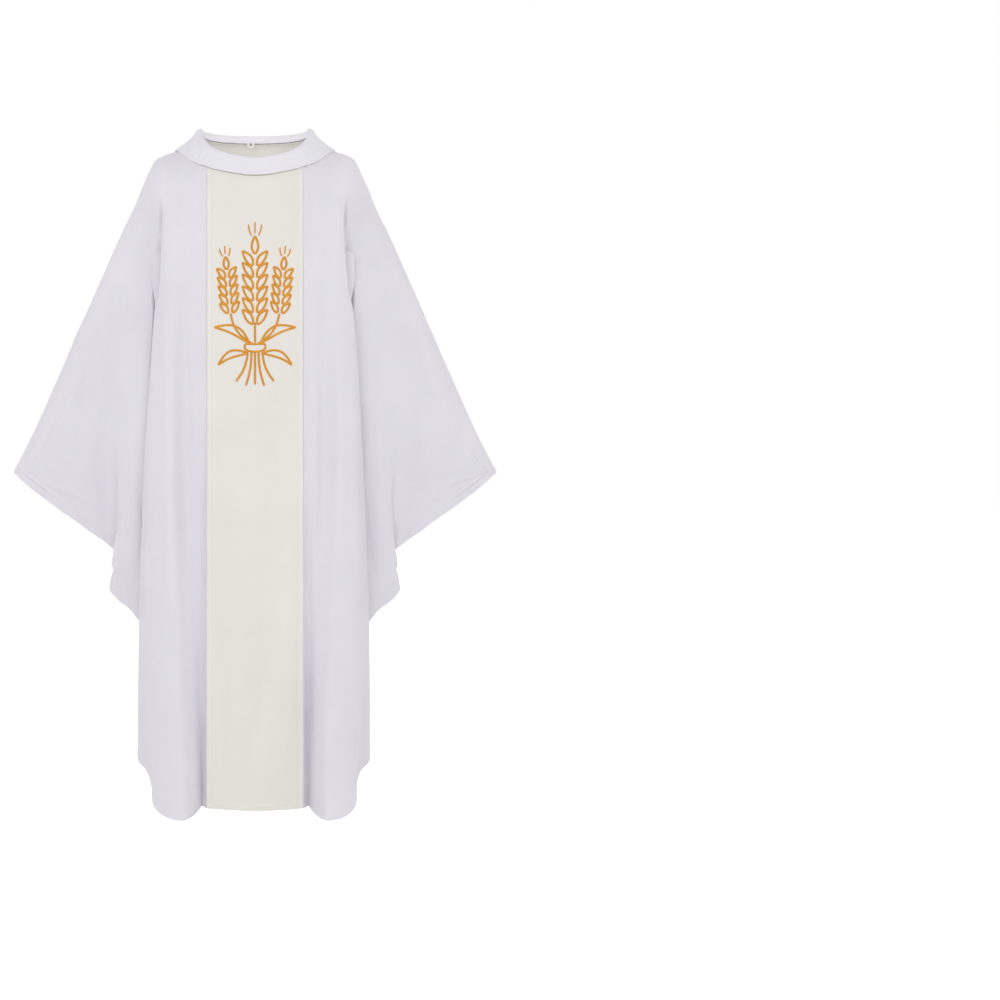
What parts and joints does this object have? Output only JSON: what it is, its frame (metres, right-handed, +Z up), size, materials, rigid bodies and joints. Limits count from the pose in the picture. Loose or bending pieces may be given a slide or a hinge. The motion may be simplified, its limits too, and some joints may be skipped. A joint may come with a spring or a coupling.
{
  "type": "chasuble",
  "caption": "Wide poncho-cut chasuble in white cloth with an ivory band down front and back, a rolled collar and open sides, in its worn hollow form.",
  "frame": {"origin": "between the wearer's shoulders, level with the shoulder line, on the plane where the front and the back of the robe meet", "axes": "+Z up, -Y out of the front of the robe, +X to the wearer's left"},
  "size_m": [0.9174, 0.3202, 1.2922],
  "materials": {
    "white_cloth": "soft matt woven cloth, cool white",
    "ivory_cloth": "smooth woven cloth, warm ivory",
    "edge_tape": "narrow woven tape with a slight sheen",
    "gold_thread": "satin-stitched gold embroidery thread"
  },
  "bodies": {
    "root": {"front_band": "ivory_cloth", "back_band": "ivory_cloth", "front_left_panel": "white_cloth", "front_right_panel": "white_cloth", "back_left_panel": "white_cloth", "back_right_panel": "white_cloth", "collar": "white_cloth", "front_left_tape": "edge_tape", "front_right_tape": "edge_tape", "back_left_tape": "edge_tape", "back_right_tape": "edge_tape", "neck_loop": "edge_tape"}
  },
  "joints": []
}
